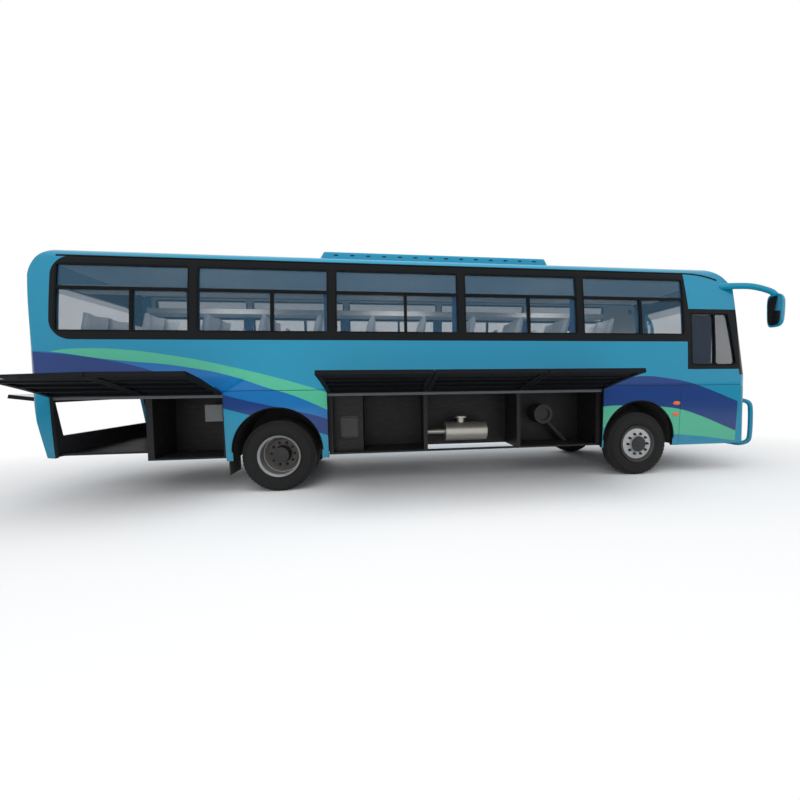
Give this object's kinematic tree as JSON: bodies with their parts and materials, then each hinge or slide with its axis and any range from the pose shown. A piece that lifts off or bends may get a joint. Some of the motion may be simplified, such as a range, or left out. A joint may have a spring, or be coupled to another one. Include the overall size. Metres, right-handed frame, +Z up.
{
  "type": "touring coach",
  "caption": "Front-engined touring coach with hinged luggage flaps along both sides, a boot lid, a passenger door, steered front wheels and twin rear wheels.",
  "frame": {"origin": "on the ground under the middle of the whole box, open flaps, lid and mirrors included", "axes": "+X forward, +Y to the coach's left, +Z up"},
  "size_m": [11.605, 3.8414, 3.535],
  "materials": {
    "body_paint": "gloss turquoise paint",
    "front_moulding": "painted moulding",
    "glass": "tinted safety glass",
    "clear_glass": "clear safety glass",
    "black_trim": "black frames",
    "tyre": "black rubber",
    "rim": "silver paint",
    "chassis": "black chassis paint",
    "bay_sheet": "black painted sheet",
    "cast": "bare casting",
    "silencer": "plain steel",
    "grey_box": "grey moulding",
    "floor": "floor covering",
    "seat": "covered cushions",
    "dash": "grained moulding",
    "rack": "light moulding",
    "curtain": "blue cloth",
    "mirror": "silvered glass",
    "lamp": "clear lens",
    "red_lamp": "red lens",
    "rubber": "sheet rubber"
  },
  "bodies": {
    "coach": {"roof": "body_paint", "side_wall_right": "body_paint", "side_wall_left": "body_paint", "side_panels_right": "body_paint", "side_panels_left": "body_paint", "front_panel": "front_moulding", "front_bumper": "front_moulding", "rear_panel": "body_paint", "window_frames": "black_trim", "side_glass": "glass", "screens": "clear_glass", "floor": "floor", "bays_right": "bay_sheet", "bays_left": "bay_sheet", "rear_bays": "bay_sheet", "chassis_frame": "chassis", "engine": "cast", "propshaft": "chassis", "rear_axle": "chassis", "front_axle": "chassis", "leaf_springs": "chassis", "bull_bar": "body_paint", "headlamps": "lamp", "mirrors": "body_paint", "mirror_glass": "mirror", "tail_lamps": "red_lamp", "roof_pod": "front_moulding", "silencer": "silencer", "air_cleaner": "black_trim", "junction_box": "grey_box", "mud_flaps": "rubber", "seats": "seat", "dashboard": "dash", "steering_wheel": "dash", "luggage_racks": "rack", "curtains": "curtain"},
    "knuckle_left": {"knuckle_left": "cast"},
    "wheel_front_left": {"front_rim_left": "rim", "front_tyre_left": "tyre"},
    "wheel_rear_left": {"rear_rim_left": "rim", "rear_tyres_left": "tyre"},
    "flap_left_rear_end": {"flap_left_rear_end": "body_paint"},
    "flap_left_rear": {"flap_left_rear": "body_paint"},
    "flap_left_mid_rear": {"flap_left_mid_rear": "body_paint"},
    "flap_left_mid": {"flap_left_mid": "body_paint"},
    "flap_left_mid_front": {"flap_left_mid_front": "body_paint"},
    "knuckle_right": {"knuckle_right": "cast"},
    "wheel_front_right": {"front_rim_right": "rim", "front_tyre_right": "tyre"},
    "wheel_rear_right": {"rear_rim_right": "rim", "rear_tyres_right": "tyre"},
    "flap_right_rear_end": {"flap_right_rear_end": "body_paint"},
    "flap_right_rear": {"flap_right_rear": "body_paint"},
    "flap_right_mid_rear": {"flap_right_mid_rear": "body_paint"},
    "flap_right_mid": {"flap_right_mid": "body_paint"},
    "flap_right_mid_front": {"flap_right_mid_front": "body_paint"},
    "passenger_door": {"passenger_door": "body_paint", "door_glass": "glass"},
    "rear_lid": {"rear_lid": "body_paint"}
  },
  "joints": [
    {"name": "steer_left", "type": "hinge", "parent": "coach", "child": "knuckle_left", "pos_m": [3.36254, 1.15574, 0.51], "axis": [0, 0, 1], "range_deg": [-38, 38]},
    {"name": "wheel_front_left_spin", "type": "hinge", "parent": "knuckle_left", "child": "wheel_front_left", "pos_m": [3.36254, 1.37574, 0.51], "axis": [0, 1, 0], "continuous": true},
    {"name": "wheel_rear_left_spin", "type": "hinge", "parent": "coach", "child": "wheel_rear_left", "pos_m": [-2.23746, 1.21074, 0.51], "axis": [0, 1, 0], "continuous": true},
    {"name": "flap_left_rear_end_hinge", "type": "hinge", "parent": "coach", "child": "flap_left_rear_end", "pos_m": [-4.51746, 1.55574, 1.459], "axis": [1, 0, 0], "range_deg": [0, 107]},
    {"name": "flap_left_rear_hinge", "type": "hinge", "parent": "coach", "child": "flap_left_rear", "pos_m": [-3.45246, 1.55574, 1.459], "axis": [1, 0, 0], "range_deg": [0, 107]},
    {"name": "flap_left_mid_rear_hinge", "type": "hinge", "parent": "coach", "child": "flap_left_mid_rear", "pos_m": [-0.82096, 1.55574, 1.459], "axis": [1, 0, 0], "range_deg": [0, 107]},
    {"name": "flap_left_mid_hinge", "type": "hinge", "parent": "coach", "child": "flap_left_mid", "pos_m": [0.63104, 1.55574, 1.459], "axis": [1, 0, 0], "range_deg": [0, 107]},
    {"name": "flap_left_mid_front_hinge", "type": "hinge", "parent": "coach", "child": "flap_left_mid_front", "pos_m": [2.04704, 1.55574, 1.459], "axis": [1, 0, 0], "range_deg": [0, 107]},
    {"name": "steer_right", "type": "hinge", "parent": "coach", "child": "knuckle_right", "pos_m": [3.36254, -0.54426, 0.51], "axis": [0, 0, 1], "range_deg": [-38, 38]},
    {"name": "wheel_front_right_spin", "type": "hinge", "parent": "knuckle_right", "child": "wheel_front_right", "pos_m": [3.36254, -0.76426, 0.51], "axis": [0, 1, 0], "continuous": true},
    {"name": "wheel_rear_right_spin", "type": "hinge", "parent": "coach", "child": "wheel_rear_right", "pos_m": [-2.23746, -0.59926, 0.51], "axis": [0, 1, 0], "continuous": true},
    {"name": "flap_right_rear_end_hinge", "type": "hinge", "parent": "coach", "child": "flap_right_rear_end", "pos_m": [-4.51746, -0.94426, 1.459], "axis": [1, 0, 0], "range_deg": [0, 107]},
    {"name": "flap_right_rear_hinge", "type": "hinge", "parent": "coach", "child": "flap_right_rear", "pos_m": [-3.45246, -0.94426, 1.459], "axis": [1, 0, 0], "range_deg": [0, 107]},
    {"name": "flap_right_mid_rear_hinge", "type": "hinge", "parent": "coach", "child": "flap_right_mid_rear", "pos_m": [-0.82096, -0.94426, 1.459], "axis": [1, 0, 0], "range_deg": [0, 107]},
    {"name": "flap_right_mid_hinge", "type": "hinge", "parent": "coach", "child": "flap_right_mid", "pos_m": [0.63104, -0.94426, 1.459], "axis": [1, 0, 0], "range_deg": [0, 107]},
    {"name": "flap_right_mid_front_hinge", "type": "hinge", "parent": "coach", "child": "flap_right_mid_front", "pos_m": [2.04704, -0.94426, 1.459], "axis": [1, 0, 0], "range_deg": [0, 107]},
    {"name": "door_hinge", "type": "hinge", "parent": "coach", "child": "passenger_door", "pos_m": [4.97654, 1.55574, 1.5], "axis": [0, 0, 1], "range_deg": [-90, 0]},
    {"name": "lid_hinge", "type": "hinge", "parent": "coach", "child": "rear_lid", "pos_m": [-5.28177, 0.30574, 1.379], "axis": [0, 1, 0], "range_deg": [-107, 0]}
  ],
  "couplings": [
    {"joint": "steer_right", "follows": "steer_left", "ratio": 1}
  ]
}
